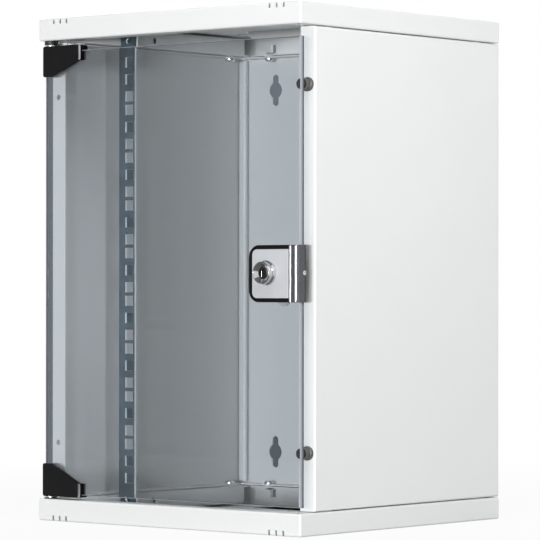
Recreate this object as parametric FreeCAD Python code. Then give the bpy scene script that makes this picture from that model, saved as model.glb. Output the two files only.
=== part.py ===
"""Wall-hung ten-inch rack cabinet, nine units high, with a hinged glass door and a cam lock.

Millimetres. X runs to the right seen from the front, Y to the back and Z up. The origin is the centre
of the bottom cover's underside. The door closes the front, at the -Y side.
"""
import FreeCAD, Part
import math
import os

from FreeCAD import Vector

# Overall body
WIDTH = 312.0
DEPTH = 290.0
HEIGHT = 460.0
SHEET = 1.2
BEND = 1.8
FRONT = -DEPTH / 2
BACK = DEPTH / 2
MIDDLE = HEIGHT / 2

# Covers: folded trays above and below the body
SKIRT = 20.0
LIP = 16.0
SIDE_LIP = 23.3
SEAM = 0.8
BOSS_RADIUS = 5.0
VENT_WIDTH = 2.0
VENT_DROP = 5.0
VENT_REACH = 7.0
VENT_FIRST = 121.0
VENT_PITCH = 8.0
VENT_COUNT = 3
CORNER_GAP = 1.4
LANCE_X = 116.2
LANCE_WIDTH = 4.7
LANCE_LOW = 8.3
LANCE_HIGH = 16.1
LANCE_REACH = 2.5
ENTRY_HALF = 102.0
ENTRY_FRONT = 92.0
ENTRY_REAR = 142.0
ENTRY_CORNER = 4.0

# Side panels and back panel
DOOR_RECESS = 20.0
PANEL_FRONT = FRONT + DOOR_RECESS
FRONT_FLANGE = 16.5
REAR_RETURN = 9.0
REAR_HEM = 6.0
REAR_HEM_GAP = 1.2
END_FLANGE = 15.0
FLANGE_NOTCH = 18.0
BACK_EDGE = 1.5
KEYHOLE_X = 112.0
KEYHOLE_RISE = 177.0
KEYHOLE_RADIUS = 8.0
KEYHOLE_SLOT = 7.6
KEYHOLE_REACH = 15.5

# Door stops
BUMPER_X = 148.0
BUMPER_RISE = 159.0
BUMPER_FOOT = 6.2
BUMPER_FOOT_HEIGHT = 3.0
BUMPER_FOOT_SLOPE = 1.0
BUMPER_RADIUS = 4.6
BUMPER_STEM = 2.5
BUMPER_GAP = 0.3
BUMPER_NOSE = 1.4
BARB_LENGTH = 4.0
BARB_FOOT = 3.5
BARB_TIP = 1.8

# Fasteners of the body
SCREW_RADIUS = 2.0
SCREW_HOLE = 2.3
SCREW_HEAD = 5.0
SCREW_HEAD_HEIGHT = 3.4
SCREW_TAIL = 0.5
NUT_FLATS = 7.0
NUT_HEIGHT = 2.2
SIDE_SCREW_X = 147.0
SIDE_SCREW_YS = (-100.0, 116.0)
BACK_SCREW_X = 114.0
BACK_SCREW_Y = 137.0

# Rack rails: hole rows of the ten-inch standard
UNIT = 44.45
UNITS = 9
HOLE_ROW = 118.26
HOLE_SIZE = 9.5
HOLE_STEP = 15.875
RAIL_SHEET = 2.0
RAIL_INNER = 111.1
RAIL_OUTER = 132.7
RAIL_FRONT = -61.0
RAIL_DEPTH = 23.0
RAIL_END = 5.0
RAIL_BEND = 3.0
RAIL_END_HOLE_X = 122.0
RAIL_END_HOLE_Z = 16.4
RAIL_END_HOLE = 2.6
RAIL_SLOT_BACK = 15.0
RAIL_SLOT_WIDTH = 10.5
RAIL_SLOT_LENGTH = 27.0

# Brackets that carry the rails' ends
BRACKET_SHEET = 1.5
BRACKET_FRONT = -112.0
BRACKET_REAR = 121.0
BRACKET_FOOT = 9.8
BRACKET_GAP = 1.5
BRACKET_CORNER = 3.0
BRACKET_HOLE = 2.75
BRACKET_HOLE_PITCH = 34.5
RAIL_SCREW_RADIUS = 2.5
RAIL_SCREW_Y = RAIL_FRONT + RAIL_SLOT_BACK
RAIL_SCREW_Z = 12.6
RAIL_SCREW_HEAD = 4.75
RAIL_NUT_FLATS = 8.0
RAIL_NUT_HEIGHT = 4.0

# Closing plate of the upper cable entry
PLATE_HALF = 112.0
PLATE_SHOULDER = 84.0
PLATE_REAR = 126.0
PLATE_TONGUE_HALF = 88.0
PLATE_FRONT = 71.5
PLATE_LIP = 6.6
PLATE_SCREW_X = 70.0
PLATE_SCREW_HEAD = 4.0
PLATE_SCREW_HEIGHT = 2.4

# Door glass
GLASS_HALF = 152.0
GLASS_FRONT = -140.0
GLASS_THICK = 5.0
GLASS_BACK = GLASS_FRONT + GLASS_THICK
GLASS_LOW = 24.5
GLASS_HIGH = 430.0
GLASS_MIDDLE = (GLASS_LOW + GLASS_HIGH) / 2
GLASS_CHAMFER = 0.6

# Hinge clamps: both are built on the glass's upper edge, and the lower one is then turned over
CLAMP_LEFT = -152.5
CLAMP_RIGHT = -105.5
CLAMP_HEEL_RIGHT = -141.0
CLAMP_CORNER = 2.0
CLAMP_FRONT = -143.5
CLAMP_BACK = -132.6
CLAMP_EDGE = 0.6
CLAMP_BEVEL_WIDTH = 2.0
CLAMP_BEVEL_DEPTH = 0.8
UPPER_HINGE = (5.0, 23.2, 8.8)
LOWER_HINGE = (2.2, 27.9, 10.5)
PAD = 0.5
PAD_INSET = 2.5
PIVOT_X = -147.0
PIVOT_Y = GLASS_FRONT + GLASS_THICK / 2
PIN_RADIUS = 3.0
PIN_PLAY = 0.05
PIN_REACH = 6.5
WASHER_RADIUS = 6.0
WASHER_HEIGHT = 1.0
BUSH_GAP = 0.4
BUSH_FLANGE = 6.3
BUSH_RADIUS = 5.0
BUSH_REACH = 7.0
SET_SCREW_XS = (-140.0, -118.0)
SET_SCREW_DROP = 4.4
SET_SCREW_PROUD = 0.4
SOCKET_FLATS = 2.0
SOCKET_DEPTH = 1.2

# Lock on the free edge of the glass
LOCK_X = 119.5
LOCK_Z = 226.4
HOUSING_LEFT = 98.8
HOUSING_RIGHT = 154.2
HOUSING_BOTTOM = 201.0
HOUSING_TOP = 250.4
HOUSING_CORNER = 11.0
HOUSING_FRONT = -146.0
HOUSING_BACK = -132.4
HOUSING_EDGE = 0.8
HOUSING_REAR_EDGE = 5.0
FACE_LEFT = 103.0
FACE_RIGHT = 143.6
FACE_MARGIN = 3.6
FACE_CORNER = 5.0
FACE_THICK = 0.6
STRIP_LEFTS = (143.7, 149.8)
STRIP_WIDTH = 3.0
STRIP_THICK = 0.5
BARREL_RADIUS = 9.0
BARREL_COLLAR = 10.75
BARREL_NOSE = 9.75
BARREL_FRONT = -155.0
BARREL_BACK = -122.3
BARREL_COLLAR_LENGTH = 2.2
BARREL_COLLAR_SLOPE = 1.0
BARREL_CHAMFER = 0.9
BARREL_DISH = 8.5
BARREL_DISH_DEPTH = 3.4
PLUG_RADIUS = 4.8
PLUG_PLAY = 0.05
PLUG_FRONT = -152.2
KEY_SLOT_WIDTH = 1.6
KEY_SLOT_HEIGHT = 6.6
KEY_SLOT_DEPTH = 14.0
STUB_RADIUS = 4.2
STUB_FLATS = 6.6
SLEEVE_RADIUS = 10.5
LOCK_NUT_FLATS = 22.0
LOCK_NUT_HEIGHT = 4.0
CAM_FRONT = -121.9
CAM_SHEET = 2.0
CAM_WIDTH = 14.0
CAM_REACH = 29.0
CAM_HEAD_RADIUS = 4.2
CAM_HEAD_HEIGHT = 2.4
CAM_SCREW_LENGTH = 9.0

X_AXIS = Vector(1, 0, 0)
Y_AXIS = Vector(0, 1, 0)
Z_AXIS = Vector(0, 0, 1)
BEYOND = 1.0
TOUCH = 1e-6


def block(x, y, z):
    """A box from its low and high limit along each axis."""
    return Part.makeBox(x[1] - x[0], y[1] - y[0], z[1] - z[0], Vector(x[0], y[0], z[0]))


def rod(radius, start, end):
    """A round bar between two points."""
    way = Vector(*end) - Vector(*start)
    return Part.makeCylinder(radius, way.Length, Vector(*start), way)


def hexagon(flats, start, end):
    """A hexagonal bar between two points, given by its width across flats."""
    way = Vector(*end) - Vector(*start)
    across = flats / math.sqrt(3.0)
    turn = FreeCAD.Rotation(Z_AXIS, way)
    corners = []
    for step in range(7):
        angle = math.radians(60 * step)
        flat = Vector(across * math.cos(angle), across * math.sin(angle), 0)
        corners.append(Vector(*start) + turn.multVec(flat))
    return Part.Face(Part.makePolygon(corners)).extrude(way)


def slot(centre, along, length, width, through):
    """A cutter for a slot with round ends. along is the slot's run, through its full cutting way."""
    radius = width / 2
    run = Vector(along).normalize() * (length / 2 - radius)
    start = Vector(*centre) - through / 2
    side = Vector(along).cross(through).normalize() * radius
    corners = [start - run - side, start + run - side, start + run + side, start - run + side]
    bar = Part.Face(Part.makePolygon(corners + corners[:1])).extrude(through)
    depth = through.Length
    ends = [Part.makeCylinder(radius, depth, start + way, through) for way in (run, run * -1)]
    return bar.fuse(ends).removeSplitter()


def edges_where(shape, test):
    """The shape's edges whose ends both pass the test."""
    return [edge for edge in shape.Edges if all(test(vertex.Point) for vertex in edge.Vertexes)]


def close(value, target):
    return abs(value - target) < TOUCH


def to_right(shape):
    """The mirror image on the cabinet's other side."""
    return shape.mirror(Vector(0, 0, 0), X_AXIS)


def upside_down(shape):
    """The mirror image in the other half of the cabinet's height."""
    return shape.mirror(Vector(0, 0, MIDDLE), Z_AXIS)


def both_sides(shape):
    return [shape, to_right(shape)]


def four_ways(shape):
    """The piece in all four corners, left and right, below and above."""
    low = both_sides(shape)
    return low + [upside_down(piece) for piece in low]


def save(name, pieces):
    """Write one node: a single solid, or a group of separate like solids."""
    pieces = pieces if isinstance(pieces, list) else [pieces]
    solids = [solid for piece in pieces for solid in piece.Solids]
    for solid in solids:
        if not solid.isValid() or solid.Volume <= 0:
            raise ValueError(name + " is not a sound solid")
    shape = solids[0] if len(solids) == 1 else Part.makeCompound(solids)
    shape.exportStep(os.path.join("parts", name + ".step"))
    print(name, len(solids), round(sum(solid.Volume for solid in solids)))


def cover():
    """Bottom cover: plate, skirts and lips folded in all round, with its slots and openings."""
    x, y = WIDTH / 2, DEPTH / 2
    tray = block((-x, x), (-y, y), (0, SKIRT))
    tray = tray.makeFillet(BEND, tray.Edges)
    room = block((SHEET - x, x - SHEET), (SHEET - y, y - SHEET), (SHEET, SKIRT - SHEET))
    room = room.makeFillet(BEND - SHEET, room.Edges)
    mouth = block((SIDE_LIP - x, x - SIDE_LIP), (LIP - y, y - LIP), (SKIRT / 2, SKIRT + BEYOND))
    cutters = [room, mouth]
    cutters += both_sides(cover_corner_gap())
    cutters += both_sides(cover_rear_notch())
    for step in range(VENT_COUNT):
        cutters += both_sides(vent(VENT_FIRST + step * VENT_PITCH))
    cutters += both_sides(lance_window())
    cutters.append(cable_opening())
    cutters += both_sides(rod(BUSH_RADIUS, (PIVOT_X, PIVOT_Y, SKIRT / 2), (PIVOT_X, PIVOT_Y, SKIRT + BEYOND)))
    bosses = [rod(BOSS_RADIUS, (x, y, SKIRT - SHEET), (x, y, SKIRT + SEAM)) for x, y in cover_screw_spots()]
    holes = [rod(SCREW_HOLE, (x, y, SKIRT / 2), (x, y, SKIRT + BEYOND)) for x, y in cover_screw_spots()]
    tray = tray.cut(cutters).fuse(both_sides(lance_tongue()) + bosses)
    return tray.removeSplitter().cut(holes)


def cover_corner_gap():
    """Mitre between two lips at a front corner."""
    run = LIP * math.sqrt(2)
    gap = block((0, run), (-CORNER_GAP / 2, CORNER_GAP / 2), (SKIRT - SHEET - BEYOND, SKIRT + BEYOND))
    gap.rotate(Vector(0, 0, 0), Z_AXIS, 45)
    gap.translate(Vector(BEND - WIDTH / 2, BEND + FRONT, 0))
    return gap


def cover_rear_notch():
    """Rear corner without a lip, so that the two lips don't meet."""
    x = (BEND - WIDTH / 2, SIDE_LIP + SHEET - WIDTH / 2)
    return block(x, (BACK - LIP, BACK - BEND), (SKIRT - SHEET - BEYOND, SKIRT + BEYOND))


def vent(x):
    """Short slot that wraps over the front bend onto the plate."""
    half = VENT_WIDTH / 2
    wrap = block((x - half, x + half), (FRONT - BEYOND, FRONT + VENT_REACH), (-BEYOND, VENT_DROP))
    keep = block((x - half, x + half), (FRONT + BEND, FRONT + VENT_REACH), (BEND, VENT_DROP))
    return wrap.cut(keep)


def lance_window():
    return block((LANCE_X - LANCE_WIDTH, LANCE_X), (BACK - BEND, BACK + BEYOND), (LANCE_LOW, LANCE_HIGH))


def lance_tongue():
    """Tongue lanced out of the window and turned forward under the lip."""
    y = (BACK - SHEET - LANCE_REACH, BACK - SHEET)
    return block((LANCE_X, LANCE_X + SHEET), y, (LANCE_LOW, LANCE_HIGH))


def cable_opening():
    opening = block((-ENTRY_HALF, ENTRY_HALF), (ENTRY_FRONT, ENTRY_REAR), (-BEYOND, BEND))
    upright = edges_where(opening, lambda p: True)
    upright = [edge for edge in upright if close(edge.Length, BEND + BEYOND)]
    return opening.makeFillet(ENTRY_CORNER, upright)


def cover_screw_spots():
    """Where each cover is screwed to the body, in plan."""
    left = [(-SIDE_SCREW_X, y) for y in SIDE_SCREW_YS] + [(-BACK_SCREW_X, BACK_SCREW_Y)]
    return left + [(-x, y) for x, y in left]


def side_panel():
    """Left side panel: a pan open to the inside, its wall flush with the covers."""
    low, high = SKIRT + SEAM, HEIGHT - SKIRT - SEAM
    wall = -WIDTH / 2
    rear = BACK - SHEET
    pan = block((wall, wall + FRONT_FLANGE), (PANEL_FRONT, rear), (low, high))
    pan = pan.makeFillet(BEND, edges_where(pan, lambda p: close(p.x, wall)))
    room = block((wall + SHEET, BEYOND), (PANEL_FRONT + SHEET, rear - SHEET), (low + SHEET, high - SHEET))
    room = room.makeFillet(BEND - SHEET, edges_where(room, lambda p: close(p.x, wall + SHEET)))
    inside = wall + BEND
    trims = [room]
    past_ends = (low - BEYOND, high + BEYOND)
    fold = wall + SHEET + REAR_RETURN - REAR_HEM / 2
    trims.append(block((fold, 0), (rear - BEND, rear + BEYOND), past_ends))
    for z in ((low - BEYOND, low + BEND), (high - BEND, high + BEYOND)):
        trims.append(block((inside, 0), (PANEL_FRONT + BEND, PANEL_FRONT + FLANGE_NOTCH), z))
        trims.append(block((inside, 0), (rear - FLANGE_NOTCH, rear + BEYOND), z))
        trims.append(block((wall + END_FLANGE, 0), (PANEL_FRONT + BEND, rear), z))
    for y in SIDE_SCREW_YS:
        trims.append(rod(SCREW_HOLE, (-SIDE_SCREW_X, y, low - BEYOND), (-SIDE_SCREW_X, y, high + BEYOND)))
    for z in (MIDDLE - BUMPER_RISE, MIDDLE + BUMPER_RISE):
        hole = rod(BUMPER_STEM, (-BUMPER_X, PANEL_FRONT - BEYOND, z), (-BUMPER_X, PANEL_FRONT + BEND, z))
        trims.append(hole)
    hem_start = wall + SHEET + REAR_HEM_GAP
    hem = hairpin((hem_start, fold), rear - REAR_HEM / 2, (low + BEND, high - BEND))
    return pan.cut(trims).fuse(hem).removeSplitter()


def hairpin(x, y, z):
    """Sheet folded back on itself round an upright axis at the second x, with the first x left open."""
    legs = []
    for radius in (REAR_HEM / 2, REAR_HEM / 2 - SHEET):
        leg = block(x, (y - radius, y + radius), z)
        legs.append(leg.fuse(rod(radius, (x[1], y, z[0]), (x[1], y, z[1]))).removeSplitter())
    return legs[0].cut(legs[1])


def back_panel():
    """Rear wall with its end flanges turned forward and a double keyhole near each corner."""
    half = WIDTH / 2 - BACK_EDGE
    low, high = SKIRT + SEAM, HEIGHT - SKIRT - SEAM
    pan = block((-half, half), (BACK - LIP, BACK), (low, high))
    bends = edges_where(pan, lambda p: close(p.y, BACK))
    pan = pan.makeFillet(BEND, [edge for edge in bends if close(edge.Length, 2 * half)])
    room = block((-half - BEYOND, half + BEYOND), (0, BACK - SHEET), (low + SHEET, high - SHEET))
    bends = edges_where(room, lambda p: close(p.y, BACK - SHEET))
    room = room.makeFillet(BEND - SHEET, [edge for edge in bends if edge.Length > WIDTH - 2 * BEND])
    trims = [room]
    for z in ((low - BEYOND, low + BEND), (high - BEND, high + BEYOND)):
        trims += both_sides(block((-half - BEYOND, LIP - WIDTH / 2), (0, BACK - SHEET), z))
    for side in (-BACK_SCREW_X, BACK_SCREW_X):
        trims.append(rod(SCREW_HOLE, (side, BACK_SCREW_Y, low - BEYOND), (side, BACK_SCREW_Y, high + BEYOND)))
    trims += four_ways(keyhole())
    return pan.cut(trims)


def keyhole():
    """Round opening for a wall screw's head, with a slot above and below for its shank."""
    x, z = -KEYHOLE_X, MIDDLE - KEYHOLE_RISE
    through = Vector(0, 2 * BEND, 0)
    passing = slot((x, BACK, z), Z_AXIS, 2 * KEYHOLE_REACH, KEYHOLE_SLOT, through)
    return passing.fuse(rod(KEYHOLE_RADIUS, (x, BACK - BEND, z), (x, BACK + BEND, z))).removeSplitter()


def rail():
    """Left rack rail: an angle with three square holes a unit in front and oblong slots at its side."""
    low, high = RAIL_END, HEIGHT - RAIL_END
    front, back = RAIL_FRONT, RAIL_FRONT + RAIL_DEPTH
    bar = block((-RAIL_OUTER, -RAIL_INNER), (front, back), (low, high))
    bar = bar.makeFillet(RAIL_BEND, edges_where(bar, lambda p: close(p.x, -RAIL_OUTER) and close(p.y, front)))
    wall, face = RAIL_SHEET - RAIL_OUTER, front + RAIL_SHEET
    room = block((wall, 0), (face, back + BEYOND), (low - BEYOND, high + BEYOND))
    inner = edges_where(room, lambda p: close(p.x, wall) and close(p.y, face))
    cutters = [room.makeFillet(RAIL_BEND - RAIL_SHEET, inner)]
    bottom = MIDDLE - UNITS * UNIT / 2
    half = HOLE_SIZE / 2
    punch = (front - BEYOND, front + RAIL_BEND)
    for unit in range(UNITS):
        for step in (-1, 0, 1):
            z = bottom + (unit + 0.5) * UNIT + step * HOLE_STEP
            cutters.append(block((-HOLE_ROW - half, half - HOLE_ROW), punch, (z - half, z + half)))
    across = Vector(4 * RAIL_SHEET, 0, 0)
    for unit in range(1, UNITS):
        spot = (-RAIL_OUTER, front + RAIL_SLOT_BACK, bottom + unit * UNIT)
        cutters.append(slot(spot, Z_AXIS, RAIL_SLOT_LENGTH, RAIL_SLOT_WIDTH, across))
    for z in (RAIL_END_HOLE_Z, HEIGHT - RAIL_END_HOLE_Z):
        hole = rod(RAIL_END_HOLE, (-RAIL_END_HOLE_X, punch[0], z), (-RAIL_END_HOLE_X, punch[1], z))
        cutters.append(hole)
    for z in (RAIL_SCREW_Z, HEIGHT - RAIL_SCREW_Z):
        hole = rod(BRACKET_HOLE, (-RAIL_OUTER - BEYOND, RAIL_SCREW_Y, z), (wall + BEYOND, RAIL_SCREW_Y, z))
        cutters.append(hole)
    return bar.cut(cutters)


def rail_bracket():
    """Angle bar spot-welded under the bottom cover's left lip, with three places for the rail's screw."""
    near, foot = -RAIL_OUTER, -RAIL_OUTER - BRACKET_FOOT
    y = (BRACKET_FRONT, BRACKET_REAR)
    low, high = SHEET + BRACKET_GAP, SKIRT - SHEET
    bar = block((foot, near), y, (low, high))
    bar = bar.makeFillet(BRACKET_CORNER, edges_where(bar, lambda p: close(p.z, low) and p.y in y))
    room = block((foot - BEYOND, near - BRACKET_SHEET), (y[0] - BEYOND, y[1] + BEYOND),
                 (low - BEYOND, high - BRACKET_SHEET))
    cutters = [room]
    for step in (-1, 0, 1):
        place = RAIL_SCREW_Y + step * BRACKET_HOLE_PITCH
        cutters.append(rod(BRACKET_HOLE, (foot, place, RAIL_SCREW_Z), (near + BEYOND, place, RAIL_SCREW_Z)))
    return bar.cut(cutters)


def rail_screw():
    """Pan-head screw through rail and bracket at the lower left."""
    y, z = RAIL_SCREW_Y, RAIL_SCREW_Z
    seat = RAIL_SHEET - RAIL_OUTER
    head = rod(RAIL_SCREW_HEAD, (seat, y, z), (seat + SCREW_HEAD_HEIGHT, y, z))
    rim = edges_where(head, lambda p: close(p.x, seat + SCREW_HEAD_HEIGHT))
    head = head.makeChamfer(SCREW_HEAD_HEIGHT / 2, rim)
    end = -RAIL_OUTER - BRACKET_SHEET - RAIL_NUT_HEIGHT - SCREW_TAIL
    return head.fuse(rod(RAIL_SCREW_RADIUS, (end, y, z), (seat, y, z)))


def rail_nut():
    y, z = RAIL_SCREW_Y, RAIL_SCREW_Z
    seat = -RAIL_OUTER - BRACKET_SHEET
    nut = hexagon(RAIL_NUT_FLATS, (seat - RAIL_NUT_HEIGHT, y, z), (seat, y, z))
    return nut.cut(rod(RAIL_SCREW_RADIUS, (seat - 2 * RAIL_NUT_HEIGHT, y, z), (0, y, z)))


def cover_screws():
    """Pan-head screws that hold the body's flanges down on the bottom cover's lips."""
    seat = SKIRT + SEAM + SHEET
    screws = []
    for x, y in cover_screw_spots():
        head = rod(SCREW_HEAD, (x, y, seat), (x, y, seat + SCREW_HEAD_HEIGHT))
        rim = edges_where(head, lambda p: close(p.z, seat + SCREW_HEAD_HEIGHT))
        head = head.makeChamfer(SCREW_HEAD_HEIGHT / 2, rim)
        end = SKIRT - SHEET - NUT_HEIGHT - SCREW_TAIL
        screws.append(head.fuse(rod(SCREW_RADIUS, (x, y, end), (x, y, seat))))
    return screws


def cover_nuts():
    seat = SKIRT - SHEET
    nuts = []
    for x, y in cover_screw_spots():
        nut = hexagon(NUT_FLATS, (x, y, seat - NUT_HEIGHT), (x, y, seat))
        nuts.append(nut.cut(rod(SCREW_RADIUS, (x, y, 0), (x, y, SKIRT))))
    return nuts


def cable_entry_plate():
    """Plate under the top cover's opening, its front edge turned down with mitred ends."""
    top = HEIGHT - SHEET
    plate = block((-PLATE_HALF, PLATE_HALF), (PLATE_SHOULDER, PLATE_REAR), (top - SHEET, top))
    half = PLATE_TONGUE_HALF
    tongue = block((-half, half), (PLATE_FRONT, PLATE_SHOULDER), (top - SHEET, top))
    low = top - PLATE_LIP
    start = Vector(-half, PLATE_FRONT, top - SHEET)
    toe = Vector(-half + (start.z - low), PLATE_FRONT, low)
    outline = [start, toe, Vector(-toe.x, toe.y, toe.z), Vector(-start.x, start.y, start.z), start]
    lip = Part.Face(Part.makePolygon(outline)).extrude(Vector(0, SHEET, 0))
    plate = plate.fuse([tongue, lip]).removeSplitter()
    for x, y in plate_screw_spots():
        plate = plate.cut(rod(SCREW_RADIUS, (x, y, low), (x, y, HEIGHT)))
    return plate


def plate_screw_spots():
    y = (PLATE_FRONT + ENTRY_FRONT) / 2
    return [(-PLATE_SCREW_X, y), (PLATE_SCREW_X, y)]


def cable_plate_screws():
    """Screws from below through the closing plate into the top cover."""
    seat = HEIGHT - 2 * SHEET
    screws = []
    for x, y in plate_screw_spots():
        head = rod(PLATE_SCREW_HEAD, (x, y, seat - PLATE_SCREW_HEIGHT), (x, y, seat))
        screws.append(head.fuse(rod(SCREW_RADIUS, (x, y, seat), (x, y, HEIGHT))))
    return screws


def bumper():
    """Lower rubber door stop: a blunt nose on a round foot, its barbed stem through the right front flange."""
    x, z = BUMPER_X, MIDDLE - BUMPER_RISE
    tip, shoulder = GLASS_BACK + BUMPER_GAP, PANEL_FRONT - BUMPER_FOOT_HEIGHT
    foot = rod(BUMPER_FOOT, (x, shoulder, z), (x, PANEL_FRONT, z))
    foot = foot.makeChamfer(BUMPER_FOOT_SLOPE, edges_where(foot, lambda p: close(p.y, shoulder)))
    nose = rod(BUMPER_RADIUS, (x, tip, z), (x, shoulder, z))
    nose = nose.makeChamfer(BUMPER_NOSE, edges_where(nose, lambda p: close(p.y, tip)))
    barb = PANEL_FRONT + SHEET
    stem = rod(BUMPER_STEM, (x, PANEL_FRONT, z), (x, barb, z))
    cone = Part.makeCone(BARB_FOOT, BARB_TIP, BARB_LENGTH, Vector(x, barb, z), Y_AXIS)
    return foot.fuse([nose, stem, cone]).removeSplitter()


def pivot_rod(radius, low, high):
    return rod(radius, (PIVOT_X, PIVOT_Y, low), (PIVOT_X, PIVOT_Y, high))


def door_glass():
    """Toughened pane with ground edges and one hole for the lock."""
    y = (GLASS_FRONT, GLASS_BACK)
    pane = block((-GLASS_HALF, GLASS_HALF), y, (GLASS_LOW, GLASS_HIGH))
    long_edges = [edge for edge in pane.Edges if edge.Length > 2 * GLASS_THICK]
    pane = pane.makeChamfer(GLASS_CHAMFER, long_edges)
    return pane.cut(lock_rod(SLEEVE_RADIUS, GLASS_FRONT - BEYOND, GLASS_BACK + BEYOND))


class Hinge:
    """One corner hinge at the glass's upper edge: clamp, liners, grub screws, pin, washer and bush."""

    def __init__(self, spine, heel, toe, lip):
        self.top = GLASS_HIGH + spine
        self.heel = GLASS_HIGH - heel
        self.toe = GLASS_HIGH - toe
        self.lip = lip

    def outline(self, inset, top):
        """Five-sided outline of the clamp at its front."""
        left, right = CLAMP_LEFT + inset, CLAMP_RIGHT - inset
        heel, toe = self.heel + inset, self.toe + inset
        corners = [(left, top), (left, heel), (CLAMP_HEEL_RIGHT - inset / 2, heel), (right, toe), (right, top)]
        points = [Vector(x, CLAMP_FRONT, z) for x, z in corners]
        return Part.Face(Part.makePolygon(points + points[:1]))

    def clamp(self):
        """A five-sided front jaw and a low rear jaw over the glass's corner, joined by a spine."""
        depth = CLAMP_BACK - CLAMP_FRONT
        body = self.outline(0, self.top).extrude(Vector(0, depth, 0))
        body = body.makeFillet(CLAMP_CORNER, [edge for edge in body.Edges if close(edge.Length, depth)])
        rims = [edge for edge in body.Edges if close(edge.BoundBox.YLength, 0)]
        body = body.makeChamfer(CLAMP_EDGE, rims)
        past_ends = (CLAMP_LEFT - BEYOND, CLAMP_RIGHT + BEYOND)
        mouth = block(past_ends, (GLASS_FRONT - PAD, GLASS_BACK + PAD), (self.heel - BEYOND, GLASS_HIGH + PAD))
        under_jaw = block(past_ends, (GLASS_BACK, CLAMP_BACK + BEYOND), (self.heel - BEYOND, self.toe))
        cutters = [mouth, under_jaw, self.bevel(), pivot_rod(PIN_RADIUS, GLASS_HIGH, self.top + BEYOND)]
        for x, z in self.screw_spots():
            cutters.append(rod(SCREW_RADIUS, (x, GLASS_BACK, z), (x, CLAMP_BACK + BEYOND, z)))
        return body.cut(cutters)

    def bevel(self):
        """Cutter for the slanting face down the clamp's right front edge."""
        right, front = CLAMP_RIGHT, CLAMP_FRONT
        corners = [(right - CLAMP_BEVEL_WIDTH, front), (right, front + CLAMP_BEVEL_DEPTH),
                   (right + BEYOND, front + CLAMP_BEVEL_DEPTH), (right + BEYOND, front - BEYOND),
                   (right - CLAMP_BEVEL_WIDTH, front - BEYOND)]
        points = [Vector(x, y, self.heel) for x, y in corners]
        height = self.top - self.heel + BEYOND
        return Part.Face(Part.makePolygon(points + points[:1])).extrude(Vector(0, 0, height))

    def screw_spots(self):
        return [(x, GLASS_HIGH - SET_SCREW_DROP) for x in SET_SCREW_XS]

    def pads(self):
        """Thin liners between the jaws and the glass."""
        pad = self.outline(PAD_INSET, GLASS_HIGH - PAD_INSET).extrude(Vector(0, PAD, 0))
        front, rear = [pad.translated(Vector(0, y - CLAMP_FRONT, 0)) for y in (GLASS_FRONT - PAD, GLASS_BACK)]
        jaw = block((CLAMP_LEFT, CLAMP_RIGHT), (GLASS_BACK, GLASS_BACK + PAD), (self.toe, GLASS_HIGH))
        return [front, rear.common(jaw)]

    def set_screws(self):
        """Grub screws in the rear jaw that press the liner on the glass."""
        screws = []
        tip, end = GLASS_BACK + PAD, CLAMP_BACK + SET_SCREW_PROUD
        for x, z in self.screw_spots():
            screw = rod(SCREW_RADIUS, (x, tip, z), (x, end, z))
            screws.append(screw.cut(hexagon(SOCKET_FLATS, (x, end - SOCKET_DEPTH, z), (x, end + BEYOND, z))))
        return screws

    def pin(self):
        return pivot_rod(PIN_RADIUS, GLASS_HIGH + PAD, self.lip + PIN_REACH)

    def washer(self):
        ring = pivot_rod(WASHER_RADIUS, self.top, self.top + WASHER_HEIGHT)
        return ring.cut(pivot_rod(PIN_RADIUS, self.top - BEYOND, self.top + 2 * WASHER_HEIGHT))

    def bush(self):
        """Flanged bush: its barrel passes the cover's lip, its flange meets the washer."""
        low, end = self.top + WASHER_HEIGHT + BUSH_GAP, self.lip + BUSH_REACH
        flange = pivot_rod(BUSH_FLANGE, low, self.lip)
        bush = flange.fuse(pivot_rod(BUSH_RADIUS, self.lip, end)).removeSplitter()
        return bush.cut(pivot_rod(PIN_RADIUS + PIN_PLAY, low - BEYOND, end + BEYOND))


def turned_over(shape):
    """The mirror image at the glass's other end."""
    return shape.mirror(Vector(0, 0, GLASS_MIDDLE), Z_AXIS)


def lock_rod(radius, front, back):
    return rod(radius, (LOCK_X, front, LOCK_Z), (LOCK_X, back, LOCK_Z))


def lock_housing():
    """Clamp over the glass's free edge: front case, end wall and rear jaw in one."""
    y, z = (HOUSING_FRONT, HOUSING_BACK), (HOUSING_BOTTOM, HOUSING_TOP)
    case = block((HOUSING_LEFT, HOUSING_RIGHT), y, z)
    depth = HOUSING_BACK - HOUSING_FRONT
    ends = [edge for edge in case.Edges if close(edge.Length, depth)]
    case = case.makeFillet(HOUSING_CORNER, [edge for edge in ends if close(edge.Vertexes[0].X, HOUSING_LEFT)])
    corner = edges_where(case, lambda p: close(p.x, HOUSING_RIGHT) and close(p.y, HOUSING_BACK))
    case = case.makeFillet(HOUSING_REAR_EDGE, corner)
    corner = edges_where(case, lambda p: close(p.x, HOUSING_RIGHT) and close(p.y, HOUSING_FRONT))
    case = case.makeFillet(HOUSING_EDGE, corner)
    mouth = block((0, GLASS_HALF), (GLASS_FRONT, GLASS_BACK), (z[0] - BEYOND, z[1] + BEYOND))
    hole = lock_rod(BARREL_RADIUS, HOUSING_FRONT - BEYOND, HOUSING_BACK + BEYOND)
    screw = rod(SCREW_RADIUS, (GLASS_HALF, PIVOT_Y, LOCK_Z), (WIDTH, PIVOT_Y, LOCK_Z))
    return case.cut([mouth, hole, screw])


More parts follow.
